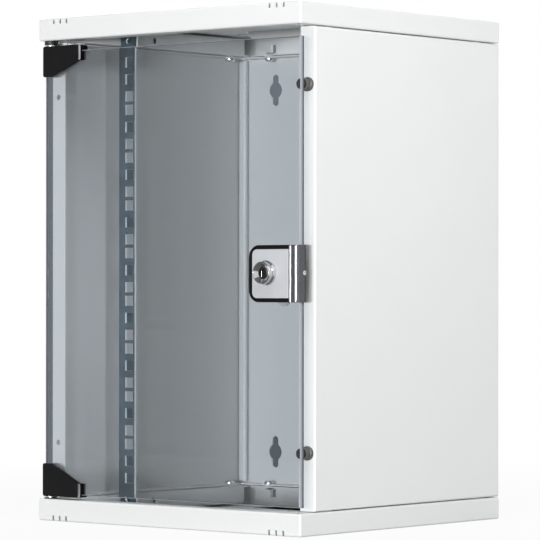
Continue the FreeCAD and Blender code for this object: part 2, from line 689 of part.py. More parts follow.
def lock_face_plate():
    """Bright plate let on to the housing's front, rounded at its left corners."""
    y = (HOUSING_FRONT - FACE_THICK, HOUSING_FRONT)
    z = (HOUSING_BOTTOM + FACE_MARGIN, HOUSING_TOP - FACE_MARGIN)
    plate = block((FACE_LEFT, FACE_RIGHT), y, z)
    ends = edges_where(plate, lambda p: close(p.x, FACE_LEFT))
    plate = plate.makeFillet(FACE_CORNER, [edge for edge in ends if close(edge.Length, FACE_THICK)])
    return plate.cut(lock_rod(BARREL_RADIUS, y[0] - BEYOND, y[1] + BEYOND))


def lock_trim_strips():
    """Two bright uprights across the housing's edge end."""
    strips = []
    for left in STRIP_LEFTS:
        strip = block((left, left + STRIP_WIDTH), (HOUSING_FRONT - STRIP_THICK, HOUSING_FRONT),
                      (HOUSING_BOTTOM + HOUSING_EDGE, HOUSING_TOP - HOUSING_EDGE))
        rims = edges_where(strip, lambda p: close(p.y, HOUSING_FRONT - STRIP_THICK))
        strips.append(strip.makeChamfer(STRIP_THICK / 2, rims))
    return strips


def lock_housing_screw():
    """Grub screw in the housing's end wall, tightened against the glass's edge."""
    end = HOUSING_RIGHT + SET_SCREW_PROUD / 2
    screw = rod(SCREW_RADIUS, (GLASS_HALF, PIVOT_Y, LOCK_Z), (end, PIVOT_Y, LOCK_Z))
    return screw.cut(hexagon(SOCKET_FLATS, (end - BEYOND, PIVOT_Y, LOCK_Z), (end + BEYOND, PIVOT_Y, LOCK_Z)))


def turned(profile):
    """A solid of revolution about the lock's axis, from (radius, y) points."""
    points = [Vector(LOCK_X + radius, y, LOCK_Z) for radius, y in profile]
    face = Part.Face(Part.makePolygon(points + points[:1]))
    return face.revolve(Vector(LOCK_X, 0, LOCK_Z), Y_AXIS, 360)


def lock_barrel():
    """Lock case: collar on the face plate, dished nose in front, threaded body through the glass."""
    seat = HOUSING_FRONT - FACE_THICK
    collar = seat - BARREL_COLLAR_LENGTH
    bore = PLUG_RADIUS + PLUG_PLAY
    return turned([
        (bore, BARREL_BACK), (BARREL_RADIUS, BARREL_BACK), (BARREL_RADIUS, seat), (BARREL_COLLAR, seat),
        (BARREL_COLLAR, collar), (BARREL_NOSE, collar - BARREL_COLLAR_SLOPE),
        (BARREL_NOSE, BARREL_FRONT + BARREL_CHAMFER), (BARREL_NOSE - BARREL_CHAMFER, BARREL_FRONT),
        (BARREL_DISH, BARREL_FRONT), (bore, BARREL_FRONT + BARREL_DISH_DEPTH)])


def lock_sleeve():
    """Soft ring that centres the barrel in the glass."""
    return lock_rod(SLEEVE_RADIUS, GLASS_FRONT, GLASS_BACK).cut(lock_rod(BARREL_RADIUS, FRONT, 0))


def lock_nut():
    back = HOUSING_BACK + LOCK_NUT_HEIGHT
    nut = hexagon(LOCK_NUT_FLATS, (LOCK_X, HOUSING_BACK, LOCK_Z), (LOCK_X, back, LOCK_Z))
    return nut.cut(lock_rod(BARREL_RADIUS, FRONT, 0))


def flatted(radius, flats, front, back):
    """Round bar on the lock's axis with two upright flats."""
    half = flats / 2
    slab = block((LOCK_X - half, LOCK_X + half), (front, back), (LOCK_Z - radius, LOCK_Z + radius))
    return lock_rod(radius, front, back).common(slab)


def lock_plug():
    """Turning core with the key slot in its face and a flatted stub for the cam."""
    core = lock_rod(PLUG_RADIUS, PLUG_FRONT, BARREL_BACK)
    stub = flatted(STUB_RADIUS, STUB_FLATS, BARREL_BACK, CAM_FRONT + CAM_SHEET)
    half, high = KEY_SLOT_WIDTH / 2, KEY_SLOT_HEIGHT / 2
    key = block((LOCK_X - half, LOCK_X + half), (PLUG_FRONT - BEYOND, PLUG_FRONT + KEY_SLOT_DEPTH),
                (LOCK_Z - high, LOCK_Z + high))
    tapped = lock_rod(SCREW_RADIUS, CAM_FRONT + CAM_SHEET - CAM_SCREW_LENGTH, 0)
    return core.fuse(stub).removeSplitter().cut([key, tapped])


def lock_cam():
    """Latch plate on the plug's end. It hangs down when unlocked."""
    middle = (LOCK_X, CAM_FRONT + CAM_SHEET / 2, LOCK_Z - (CAM_REACH - CAM_WIDTH / 2) / 2)
    length = CAM_REACH + CAM_WIDTH / 2
    plate = slot(middle, Z_AXIS, length, CAM_WIDTH, Vector(0, CAM_SHEET, 0))
    return plate.cut(flatted(STUB_RADIUS, STUB_FLATS, CAM_FRONT - BEYOND, CAM_FRONT + CAM_SHEET + BEYOND))


def cam_screw():
    seat = CAM_FRONT + CAM_SHEET
    head = lock_rod(CAM_HEAD_RADIUS, seat, seat + CAM_HEAD_HEIGHT)
    return head.fuse(lock_rod(SCREW_RADIUS, seat - CAM_SCREW_LENGTH, seat))


os.makedirs("parts", exist_ok=True)

# Body
bottom = cover()
low, high = HEIGHT - BEND, HEIGHT + BEYOND
plate_holes = [rod(SCREW_RADIUS, (x, y, low), (x, y, high)) for x, y in plate_screw_spots()]
save("bottom_cover", bottom)
save("top_cover", upside_down(bottom).cut(plate_holes))
left_panel = side_panel()
save("left_side_panel", left_panel)
save("right_side_panel", to_right(left_panel))
save("back_panel", back_panel())
low_screws = cover_screws()
save("cover_screws", low_screws + [upside_down(screw) for screw in low_screws])
low_nuts = cover_nuts()
save("cover_nuts", low_nuts + [upside_down(nut) for nut in low_nuts])
save("cable_entry_plate", cable_entry_plate())
save("cable_plate_screws", cable_plate_screws())

# Rails
left_rail = rail()
save("left_rail", left_rail)
save("right_rail", to_right(left_rail))
corners = ("bottom_left", "bottom_right", "top_left", "top_right")
for corner, bracket in zip(corners, four_ways(rail_bracket())):
    save("rail_bracket_" + corner, bracket)
save("rail_screws", four_ways(rail_screw()))
save("rail_nuts", four_ways(rail_nut()))

# Door stops and pivots
low_bumper = bumper()
save("lower_bumper", low_bumper)
save("upper_bumper", upside_down(low_bumper))
upper = Hinge(*UPPER_HINGE, HEIGHT - SKIRT)
lower = Hinge(*LOWER_HINGE, 2 * GLASS_MIDDLE - SKIRT)
save("upper_pivot_bush", upper.bush())
save("lower_pivot_bush", turned_over(lower.bush()))

# Door
save("door_glass", door_glass())
save("upper_hinge_clamp", upper.clamp())
save("lower_hinge_clamp", turned_over(lower.clamp()))
save("upper_hinge_pads", upper.pads())
save("lower_hinge_pads", [turned_over(pad) for pad in lower.pads()])
save("hinge_set_screws", upper.set_screws() + [turned_over(screw) for screw in lower.set_screws()])
save("upper_hinge_pin", upper.pin())
save("lower_hinge_pin", turned_over(lower.pin()))
save("upper_hinge_washer", upper.washer())
save("lower_hinge_washer", turned_over(lower.washer()))

# Lock
save("lock_housing", lock_housing())
save("lock_face_plate", lock_face_plate())
save("lock_trim_strips", lock_trim_strips())
save("lock_housing_screw", lock_housing_screw())
save("lock_barrel", lock_barrel())
save("lock_sleeve", lock_sleeve())
save("lock_nut", lock_nut())
save("lock_plug", lock_plug())
save("lock_cam", lock_cam())
save("cam_screw", cam_screw())
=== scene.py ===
import math

import bmesh
import bpy
from mathutils import Matrix, Vector


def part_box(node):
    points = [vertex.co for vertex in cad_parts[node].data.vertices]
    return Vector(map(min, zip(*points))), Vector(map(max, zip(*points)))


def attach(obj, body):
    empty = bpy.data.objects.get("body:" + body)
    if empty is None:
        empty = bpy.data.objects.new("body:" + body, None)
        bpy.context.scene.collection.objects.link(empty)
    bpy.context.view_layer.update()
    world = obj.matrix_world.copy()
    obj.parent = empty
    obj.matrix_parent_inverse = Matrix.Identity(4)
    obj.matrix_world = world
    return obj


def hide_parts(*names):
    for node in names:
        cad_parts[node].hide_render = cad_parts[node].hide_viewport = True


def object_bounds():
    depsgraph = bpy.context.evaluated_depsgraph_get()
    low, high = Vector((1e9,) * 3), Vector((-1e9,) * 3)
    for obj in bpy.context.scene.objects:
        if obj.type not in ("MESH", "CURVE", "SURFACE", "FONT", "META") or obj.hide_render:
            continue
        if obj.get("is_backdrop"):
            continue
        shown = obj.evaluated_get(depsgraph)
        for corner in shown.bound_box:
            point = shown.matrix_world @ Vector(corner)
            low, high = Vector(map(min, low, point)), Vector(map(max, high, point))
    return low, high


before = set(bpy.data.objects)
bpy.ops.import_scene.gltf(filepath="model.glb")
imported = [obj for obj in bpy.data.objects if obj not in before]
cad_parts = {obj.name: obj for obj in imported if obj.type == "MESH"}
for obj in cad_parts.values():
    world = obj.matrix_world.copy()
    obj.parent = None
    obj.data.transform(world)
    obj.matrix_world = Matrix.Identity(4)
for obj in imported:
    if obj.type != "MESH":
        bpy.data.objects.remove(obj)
cad_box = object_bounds()


# Covers, side panels, back panel and the brackets that carry the rails.
# They are punched and folded from sheet steel, then powder coated light grey. The coat rounds the cut
# edges a little and has a fine orange-peel skin with a barely uneven tone.
MM = 0.001
WELD = 0.01 * MM
FLAT = math.radians(0.5)
SHARP = math.radians(38)
SHEET_EDGE = 0.5 * MM
SHEET_EDGE_STEPS = 3


def add(tree, kind, inputs=None, **settings):
    """Place a node, set it up, and set or link its inputs."""
    node = tree.nodes.new(kind)
    for name, value in settings.items():
        setattr(node, name, value)
    for name, value in (inputs or {}).items():
        if isinstance(value, bpy.types.NodeSocket):
            tree.links.new(value, node.inputs[name])
        else:
            node.inputs[name].default_value = value
    return node


def own_place(tree):
    """Where a point of the surface lies, in the piece's own coordinates."""
    return add(tree, "ShaderNodeTexCoord").outputs["Object"]


def noise(tree, place, scale, detail):
    """A noise pattern's value at a place."""
    return add(tree, "ShaderNodeTexNoise", {"Vector": place, "Scale": scale, "Detail": detail}).outputs["Fac"]


def ranged(tree, value, start=0.0, end=1.0, low=0.0, high=1.0, **settings):
    """A value brought from one range to another and held inside it."""
    limits = {"Value": value, "From Min": start, "From Max": end, "To Min": low, "To Max": high}
    return add(tree, "ShaderNodeMapRange", limits, **settings).outputs["Result"]


def new_group(name, inputs, outputs):
    """An empty shader node group with named sockets, its way in and its way out."""
    group = bpy.data.node_groups.new(name, "ShaderNodeTree")
    for socket, kind in inputs:
        group.interface.new_socket(socket, in_out="INPUT", socket_type=kind)
    for socket in outputs:
        group.interface.new_socket(socket, in_out="OUTPUT", socket_type="NodeSocketFloat")
    return group, add(group, "NodeGroupInput"), add(group, "NodeGroupOutput")


def new_finish(name, **constants):
    """A material with one principled shader whose plain values are set on its own sockets."""
    material = bpy.data.materials.new(name)
    material.use_nodes = True
    shader = material.node_tree.nodes["Principled BSDF"]
    for socket, value in constants.items():
        shader.inputs[socket.replace("_", " ")].default_value = value
    return material, material.node_tree, shader


def two_tones(tree, shader, mask, tones, socket="Base Color"):
    """Colour that runs from the first tone to the second with a mask."""
    first, second = ((*tone, 1) for tone in tones)
    blend = add(tree, "ShaderNodeMix", {"Factor": mask, "A": first, "B": second}, data_type="RGBA")
    tree.links.new(blend.outputs["Result"], shader.inputs[socket])


def uneven_gloss(tree, shader, mask, low, high):
    """Roughness that runs between two values with a mask."""
    tree.links.new(ranged(tree, mask, low=low, high=high), shader.inputs["Roughness"])


def relief(tree, shader, height, strength, distance):
    """Fine relief on the surface."""
    bump = add(tree, "ShaderNodeBump", {"Height": height, "Strength": strength, "Distance": distance})
    tree.links.new(bump.outputs["Normal"], shader.inputs["Normal"])


def make_sprayed_skin():
    """Orange-peel height and a slow drift of tone, for sprayed and moulded skins."""
    group, start, end = new_group(
        "sprayed_skin", [("Grain", "NodeSocketFloat"), ("Drift", "NodeSocketFloat")], ("Height", "Tone"))
    place = own_place(group)
    group.links.new(noise(group, place, start.outputs["Grain"], detail=3.0), end.inputs["Height"])
    group.links.new(noise(group, place, start.outputs["Drift"], detail=2.0), end.inputs["Tone"])
    return group


sprayed_skin = make_sprayed_skin()


def sprayed_finish(name, grain, drift, tones, gloss, bump, **constants):
    """A skin with orange peel in its gloss and relief and a slowly drifting tone."""
    material, tree, shader = new_finish(name, **constants)
    skin = add(tree, "ShaderNodeGroup", {"Grain": grain, "Drift": drift}, node_tree=sprayed_skin)
    two_tones(tree, shader, skin.outputs["Tone"], tones)
    uneven_gloss(tree, shader, skin.outputs["Height"], *gloss)
    relief(tree, shader, skin.outputs["Height"], *bump)
    return material


def merged_copy(node):
    """A copy of a CAD node's shape with its triangles joined and its flat faces made whole."""
    shape = bmesh.new()
    shape.from_mesh(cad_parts[node].data)
    bmesh.ops.remove_doubles(shape, verts=shape.verts, dist=WELD)
    bmesh.ops.dissolve_limit(shape, angle_limit=FLAT, verts=shape.verts, edges=shape.edges)
    return shape


def ease(shape, width, segments=2):
    """Round every sharp edge a little."""
    sharp = [edge for edge in shape.edges if edge.is_manifold and edge.calc_face_angle() > SHARP]
    bmesh.ops.bevel(shape, geom=sharp, offset=width, affect="EDGES", segments=segments, profile=0.5,
                    material=-1, clamp_overlap=True)


def finish_piece(shape, name, body, slot, materials, *nodes):
    """Make an object of a shape, give it its finish, and let it ride and stand for CAD nodes."""
    mesh = bpy.data.meshes.new(name)
    shape.to_mesh(mesh)
    shape.free()
    mesh.polygons.foreach_set("use_smooth", [True] * len(mesh.polygons))
    mesh.set_sharp_from_angle(angle=SHARP)
    for material in materials:
        mesh.materials.append(material)
    piece = bpy.data.objects.new(name, mesh)
    bpy.context.scene.collection.objects.link(piece)
    piece.modifiers.new("even_normals", "WEIGHTED_NORMAL").keep_sharp = True
    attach(piece, body)
    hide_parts(*nodes)
    return piece


def eased_piece(node, edge, name, body, slot, material, segments=2):
    """A CAD node's own shape with its sharp edges rounded, finished in one material."""
    shape = merged_copy(node)
    ease(shape, edge, segments)
    finish_piece(shape, name, body, slot, [material], node)


powder_coat = sprayed_finish("light_grey_powder_coat", grain=900.0, drift=9.0,
                             tones=((0.622, 0.634, 0.630), (0.648, 0.660, 0.656)), gloss=(0.32, 0.44),
                             bump=(0.12, 0.3 * MM), Specular_IOR_Level=0.35)
for node in ("bottom_cover", "top_cover", "left_side_panel", "right_side_panel", "back_panel",
             "cable_entry_plate", "rail_bracket_bottom_left", "rail_bracket_bottom_right",
             "rail_bracket_top_left", "rail_bracket_top_right"):
    eased_piece(node, SHEET_EDGE, "coated_" + node, "cabinet", "grey_paint", powder_coat,
                segments=SHEET_EDGE_STEPS)


# Screws and nuts of the body.
# Twelve pan-head screws with a cross recess join the covers to the panels, and two smaller ones hold the
# cable plate. They are steel, bright zinc plated, and their nuts sit hidden inside the covers.
TURNING_STEPS = 40
DOME_STEPS = 6
QUARTER_TURN = [math.radians(90 * step / DOME_STEPS) for step in range(DOME_STEPS + 1)]
HEAD_SIDE = 0.35
RECESS_REACH = 0.62
RECESS_ARM = 0.24
RECESS_DEPTH = 0.55
RECESS_TAPER = 0.72
COVER_HEAD = 5.0 * MM
COVER_HEAD_HEIGHT = 3.4 * MM
COVER_SHANK = 2.0 * MM
PLATE_HEAD = 4.0 * MM
PLATE_HEAD_HEIGHT = 2.4 * MM


def turned(profile, steps=TURNING_STEPS):
    """A shape turned about +Z from (radius, height) points."""
    shape = bmesh.new()
    verts = [shape.verts.new((radius, 0, height)) for radius, height in profile]
    edges = [shape.edges.new(pair) for pair in zip(verts, verts[1:])]
    bmesh.ops.spin(shape, geom=verts + edges, cent=(0, 0, 0), axis=(0, 0, 1), angle=2 * math.pi,
                   steps=steps, use_merge=True)
    bmesh.ops.remove_doubles(shape, verts=shape.verts, dist=WELD)
    bmesh.ops.recalc_face_normals(shape, faces=shape.faces)
    return shape


def solid_boxes(node):
    """Lowest and highest corner of each separate solid in a CAD node."""
    shape = merged_copy(node)
    waiting = set(shape.verts)
    boxes = []
    while waiting:
        solid = [waiting.pop()]
        for vert in solid:
            near = [edge.other_vert(vert) for edge in vert.link_edges]
            near = [other for other in near if other in waiting]
            waiting.difference_update(near)
            solid.extend(near)
        corners = list(zip(*(vert.co for vert in solid)))
        boxes.append((Vector(map(min, corners)), Vector(map(max, corners))))
    shape.free()
    return sorted(boxes, key=lambda box: tuple(box[0]))


def repeated(shape, places):
    """One shape that holds a copy of the given shape at each place."""
    single = bpy.data.meshes.new("single")
    shape.to_mesh(single)
    shape.free()
    group = bmesh.new()
    for place in places:
        before = set(group.verts)
        group.from_mesh(single)
        added = [vert for vert in group.verts if vert not in before]
        bmesh.ops.transform(group, matrix=place, verts=added)
    bpy.data.meshes.remove(single)
    return group


def pan_head_screw(head, height, shank, length):
    """Screw along +Z, its head's seat at the origin. The head is domed and has a cross recess."""
    side = HEAD_SIDE * height
    dome = [(head * math.sin(turn), side + (height - side) * math.cos(turn)) for turn in QUARTER_TURN]
    point = [(shank, shank / 2 - length), (shank / 2, -length), (0, -length)]
    shape = turned(dome + [(head, 0), (shank, 0)] + point)
    arm = RECESS_ARM * head
    reach = RECESS_REACH * head

    def on_top(face):
        return face.calc_center_median().z > side and face.calc_center_median().xy.length < reach

    for way in (Vector((1, 0, 0)), Vector((0, 1, 0))):
        for edge_of_arm in (-arm / 2, arm / 2):
            top = [face for face in shape.faces if on_top(face)]
            lines = {edge for face in top for edge in face.edges}
            corners = {vert for face in top for vert in face.verts}
            bmesh.ops.bisect_plane(shape, geom=top + list(lines) + list(corners),
                                   plane_co=way * edge_of_arm, plane_no=way, dist=WELD)
    arms = [face for face in shape.faces if on_top(face)
            and min(abs(face.calc_center_median().x), abs(face.calc_center_median().y)) < arm / 2]
    sunk = bmesh.ops.extrude_face_region(shape, geom=arms)
    floor_verts = [vert for vert in sunk["geom"] if isinstance(vert, bmesh.types.BMVert)]
    bmesh.ops.translate(shape, vec=(0, 0, -RECESS_DEPTH * height), verts=floor_verts)
    bmesh.ops.scale(shape, vec=(RECESS_TAPER, RECESS_TAPER, 1), verts=floor_verts)
    return shape


def head_up(box, height):
    """Place of a screw that stands in its box with its head at the top."""
    middle = (box[0] + box[1]) / 2
    return Matrix.Translation((middle.x, middle.y, box[1].z - height))


def head_down(box, height):
    """Place of a screw that hangs in its box with its head at the bottom."""
    middle = (box[0] + box[1]) / 2
    return Matrix.Translation((middle.x, middle.y, box[0].z + height)) @ Matrix.Rotation(math.pi, 4, "X")


def dress(material, *names):
    """Give CAD nodes a finish."""
    for name in names:
        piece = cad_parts[name]
        piece.data.materials.clear()
        piece.data.materials.append(material)


bright_steel = sprayed_finish("bright_plated_steel", grain=1400.0, drift=160.0,
                              tones=((0.50, 0.52, 0.55), (0.74, 0.75, 0.77)), gloss=(0.14, 0.32),
                              bump=(0.08, 0.05 * MM), Metallic=1.0)

half_height = (cad_box[0][2] + cad_box[1][2]) / 2
places = []
for box in solid_boxes("cover_screws"):
    place_of = head_up if box[0].z < half_height else head_down
    places.append(place_of(box, COVER_HEAD_HEIGHT))
length = box[1].z - box[0].z - COVER_HEAD_HEIGHT
cover_screw = pan_head_screw(COVER_HEAD, COVER_HEAD_HEIGHT, COVER_SHANK, length)
finish_piece(repeated(cover_screw, places), "cover_screw_set", "cabinet", "bright_steel", [bright_steel],
             "cover_screws")

boxes = solid_boxes("cable_plate_screws")
places = [head_down(box, PLATE_HEAD_HEIGHT) for box in boxes]
length = boxes[0][1].z - boxes[0][0].z - PLATE_HEAD_HEIGHT
plate_screw = pan_head_screw(PLATE_HEAD, PLATE_HEAD_HEIGHT, COVER_SHANK, length)
finish_piece(repeated(plate_screw, places), "cable_plate_screw_set", "cabinet", "bright_steel",
             [bright_steel], "cable_plate_screws")
dress(bright_steel, "cover_nuts")


# Rack rails and the screws that hold them.
# They are punched and folded from zinc-plated strip, blue passivated, with rolling streaks and a cloudy
# sheen. The sheared faces of the holes are bare steel, made near white as a painted highlight, and the
# rounded edges that face inwards and forwards get a polished metal as a painted highlight.
RAIL_SHEET = 2.0 * MM
RAIL_EDGE = 0.85 * MM
RAIL_HEAD = 4.75 * MM
RAIL_HEAD_HEIGHT = 3.4 * MM
RAIL_SHANK = 2.5 * MM
STREAK_RELIEF = 0.1 * MM
SHEAR_AND_HIGHLIGHT_TONES = ((0.86, 0.88, 0.90), (0.96, 0.97, 0.98))
PLATED, SHEARED, HIGHLIGHTED = range(3)
SQUARE_ON = 0.02
ROUNDING_STARTS = -0.98
ROUNDING_ENDS = -0.1
NEAR_UPRIGHT = 0.2


def make_rolled_streaks():
    """Streaks drawn out along one way, and a cloudy bloom over them."""
    group, start, end = new_group(
        "rolled_streaks", [("Stretch", "NodeSocketVector"), ("Bloom", "NodeSocketFloat")],
        ("Streak", "Cloud"))
    place = own_place(group)
    drawn = add(group, "ShaderNodeMapping", {"Vector": place, "Scale": start.outputs["Stretch"]})
    streak = noise(group, drawn.outputs["Vector"], scale=1.0, detail=4.0)
    group.links.new(streak, end.inputs["Streak"])
    group.links.new(noise(group, place, start.outputs["Bloom"], detail=5.0), end.inputs["Cloud"])
    return group


rolled_streaks = make_rolled_streaks()


def streaked_finish(name, stretch, bloom, tones, gloss, depth=0.1, **constants):
    """A metal with streaks in its gloss and relief and a cloudy tone."""
    material, tree, shader = new_finish(name, **constants)
    streaks = add(tree, "ShaderNodeGroup", {"Stretch": stretch, "Bloom": bloom}, node_tree=rolled_streaks)
    two_tones(tree, shader, streaks.outputs["Cloud"], tones)
    uneven_gloss(tree, shader, streaks.outputs["Streak"], *gloss)
    relief(tree, shader, streaks.outputs["Streak"], depth, STREAK_RELIEF)
    return material


zinc_plate = streaked_finish("blue_zinc_plate", stretch=(260.0, 260.0, 9.0), bloom=70.0,
                             tones=((0.105, 0.155, 0.190), (0.190, 0.250, 0.290)), gloss=(0.30, 0.50),
                             Metallic=1.0)
# Bare steel of the cut faces, made near white as a painted highlight.
sheared_edge_and_highlight = streaked_finish("sheared_steel_edge_and_highlight", stretch=(400.0, 400.0, 400.0), bloom=200.0,
                               tones=SHEAR_AND_HIGHLIGHT_TONES, gloss=(0.26, 0.40), Metallic=0.1)
# Bright polished metal on the inward, forward roundings only, as a painted highlight.
highlight_edge = streaked_finish("steel_edge_painted_highlight", stretch=(300.0, 300.0, 60.0), bloom=200.0,
                                 tones=SHEAR_AND_HIGHLIGHT_TONES, gloss=(0.28, 0.40), Metallic=1.0)
for node in ("left_rail", "right_rail"):
    low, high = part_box(node)
    front = low.y + RAIL_SHEET / 2
    wall = low.x + RAIL_SHEET / 2 if low.x < 0 else high.x - RAIL_SHEET / 2
    rail = merged_copy(node)
    for face in rail.faces:
        middle = face.calc_center_median()
        through_front = abs(middle.y - front) < RAIL_SHEET / 4 and abs(face.normal.y) < SQUARE_ON
        through_side = abs(middle.x - wall) < RAIL_SHEET / 4 and abs(face.normal.x) < SQUARE_ON
        face.material_index = SHEARED if through_front or through_side else PLATED
    ease(rail, RAIL_EDGE)
    rail.normal_update()
    # Roundings turned inwards and forwards take the painted highlight metal.
    for face in rail.faces:
        rounded = ROUNDING_STARTS < face.normal.y < ROUNDING_ENDS and abs(face.normal.z) < NEAR_UPRIGHT
        if rounded and face.normal.x * low.x < 0:
            face.material_index = HIGHLIGHTED
    plated = finish_piece(rail, "plated_" + node, "cabinet", "zinc_plate",
                          [zinc_plate, sheared_edge_and_highlight, highlight_edge], node)
    for polygon in plated.data.polygons:
        polygon.use_smooth = polygon.material_index != HIGHLIGHTED

places = []
for low, high in solid_boxes("rail_screws"):
    centre = (low + high) / 2
    inward = -1 if centre.x > 0 else 1
    seat = (high.x if inward > 0 else low.x) - inward * RAIL_HEAD_HEIGHT
    lying = Matrix.Rotation(inward * math.pi / 2, 4, "Y")
    places.append(Matrix.Translation((seat, centre.y, centre.z)) @ lying)
rail_screw = pan_head_screw(RAIL_HEAD, RAIL_HEAD_HEIGHT, RAIL_SHANK, high.x - low.x - RAIL_HEAD_HEIGHT)
finish_piece(repeated(rail_screw, places), "rail_screw_set", "cabinet", "bright_steel", [bright_steel],
             "rail_screws")
dress(bright_steel, "rail_nuts")


# Door stops.
# Two soft dark grey rubber buttons are pushed through the right front flange and held by a barb behind
# it. The door rests on their blunt noses, whose tips are painted black as painted shade where the glass
# touches.
STOP_FOOT_HEIGHT = 3.0 * MM
STOP_FOOT_ROUND = 1.3 * MM
STOP_NOSE = 4.6 * MM
STOP_NOSE_ROUND = 1.6 * MM
STOP_STEM = 2.5 * MM
STOP_SHEET = 1.2 * MM
STOP_BARB = 3.5 * MM
STOP_TIP = 1.8 * MM
STOP_BARB_LENGTH = 4.0 * MM
STOP_EDGE = 0.2 * MM
TO_FRONT = Matrix.Rotation(math.pi / 2, 4, "X")


def quarter_round(radius, height, size):
    """Points of a rounded shoulder in a turned outline, from its top outwards."""
    return [(radius - size * (1 - math.sin(turn)), height - size * (1 - math.cos(turn)))
            for turn in QUARTER_TURN]


black_rubber = sprayed_finish("black_rubber", grain=2200.0, drift=240.0,
                              tones=((0.005, 0.005, 0.006), (0.016, 0.016, 0.017)), gloss=(0.5, 0.7),
                              bump=(0.2, 0.1 * MM), Specular_IOR_Level=0.15)
grey_rubber = sprayed_finish("grey_rubber", grain=2200.0, drift=240.0,
                             tones=((0.045, 0.044, 0.041), (0.082, 0.080, 0.074)), gloss=(0.25, 0.45),
                             bump=(0.2, 0.1 * MM), Specular_IOR_Level=0.5)
for node in ("upper_bumper", "lower_bumper"):
    low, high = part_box(node)
    centre = (low + high) / 2
    foot = (high.x - low.x) / 2
    seat = high.y - STOP_BARB_LENGTH - STOP_SHEET
    nose = quarter_round(STOP_NOSE, seat - low.y, STOP_NOSE_ROUND)
    shoulder = quarter_round(foot, STOP_FOOT_HEIGHT, STOP_FOOT_ROUND)
    stop = turned([(0, seat - low.y)] + nose + [(STOP_NOSE, STOP_FOOT_HEIGHT)] + shoulder + [
        (foot, 0), (STOP_STEM, 0), (STOP_STEM, -STOP_SHEET), (STOP_BARB, -STOP_SHEET),
        (STOP_TIP, -STOP_SHEET - STOP_BARB_LENGTH), (0, -STOP_SHEET - STOP_BARB_LENGTH)])
    ease(stop, STOP_EDGE)
    # The tip where the glass rests is painted black, a painted shade.
    tip = seat - low.y - STOP_NOSE_ROUND
    for face in stop.faces:
        face.material_index = 0 if face.calc_center_median().z > tip else 1
    place = Matrix.Translation((centre.x, seat, centre.z)) @ TO_FRONT
    bmesh.ops.transform(stop, matrix=place, verts=stop.verts)
    finish_piece(stop, "rubber_" + node, "cabinet", "black_rubber", [black_rubber, grey_rubber], node)


# Pivot bushes, clamp liners and the lock's centring sleeve.
# They are small black plastic mouldings: the bushes sit in the covers' lips, the liners and the sleeve
# keep metal off the glass.
BUSH_EDGE = 0.2 * MM

black_plastic = sprayed_finish("black_plastic", grain=1600.0, drift=120.0,
                               tones=((0.010, 0.010, 0.011), (0.022, 0.022, 0.023)), gloss=(0.35, 0.5),
                               bump=(0.1, 0.1 * MM), Specular_IOR_Level=0.3)
for node in ("upper_pivot_bush", "lower_pivot_bush"):
    eased_piece(node, BUSH_EDGE, "moulded_" + node, "cabinet", "black_plastic", black_plastic)
dress(black_plastic, "upper_hinge_pads", "lower_hinge_pads", "lock_sleeve")


# Door pane.
# It is five-millimetre toughened glass, tinted grey through its thickness, with ground edges that are pale in
# front; their back half is painted dark, a painted shade. Lamps shine through it, so shadow rays take the
# tint and go straight on.
GLASS_TINT = (0.755, 0.780, 0.808, 1)
GLASS_FACE_TINT = (0.869, 0.883, 0.899, 1)
EDGE_PALE_AND_PAINTED_SHADE_TONES = ((0.24, 0.255, 0.285), (0.05, 0.055, 0.07))
EDGE_TURN = 0.50
EDGE_BLEND = 0.3 * MM
FACING = 0.99


def reckon(tree, operation, *values):
    """The outcome of one step of arithmetic on values or sockets."""
    return add(tree, "ShaderNodeMath", dict(enumerate(values)), operation=operation).outputs[0]


def mix_surfaces(tree, share, first, second):
    """Show the first shader where the share is zero and the second where it is one."""
    mixed = add(tree, "ShaderNodeMixShader", {0: share, 1: first.outputs[0], 2: second.outputs[0]})
    tree.links.new(mixed.outputs["Shader"], tree.nodes["Material Output"].inputs["Surface"])


def let_light_by(tree, shader):
    """Rays of light that cross the glass take its tint and go straight on."""
    light = add(tree, "ShaderNodeLightPath").outputs
    crossing = reckon(tree, "MAXIMUM", light["Is Shadow Ray"], light["Is Diffuse Ray"])
    passing = add(tree, "ShaderNodeBsdfTransparent", {"Color": GLASS_FACE_TINT})
    mix_surfaces(tree, crossing, shader, passing)


tinted_glass, tree, shader = new_finish("grey_tinted_glass", Base_Color=GLASS_TINT, Roughness=0.0,
                                        IOR=1.45, Transmission_Weight=1.0)
let_light_by(tree, shader)

low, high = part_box("door_glass")
turn_at = low.y + EDGE_TURN * (high.y - low.y)
ground_edge, tree, shader = new_finish("ground_glass_edge", Specular_IOR_Level=0.5)
place = own_place(tree)
depth = add(tree, "ShaderNodeSeparateXYZ", {"Vector": place}).outputs["Y"]
# The edge turns from pale ground glass in front to a painted dark shade behind.
toward_painted_shade = ranged(tree, depth, turn_at - EDGE_BLEND, turn_at + EDGE_BLEND)
two_tones(tree, shader, toward_painted_shade, EDGE_PALE_AND_PAINTED_SHADE_TONES)
grind = noise(tree, place, scale=1800.0, detail=2.0)
uneven_gloss(tree, shader, grind, low=0.25, high=0.5)
relief(tree, shader, grind, strength=0.15, distance=0.05 * MM)
let_light_by(tree, shader)

pane = merged_copy("door_glass")
for face in pane.faces:
    face.material_index = 0 if abs(face.normal.y) > FACING else 1
finish_piece(pane, "tinted_pane", "door", "tinted_glass", [tinted_glass, ground_edge], "door_glass")


# Hinge clamps with their pins, washers and grub screws.
# Each clamp is a die-cast block with a slot for the glass's corner, coated semi-matt black; its upright bevel
# has a paler, metallic coat as a painted highlight. A steel pin stands in it, with a washer between clamp and
# bush.
CLAMP_EDGE = 0.35 * MM
WASHER_EDGE = 0.15 * MM
BEVEL_LEAST = 0.2
BEVEL_MOST = 0.7
BEVEL_FORWARD = -0.5
BEVEL_LEVEL = 0.1

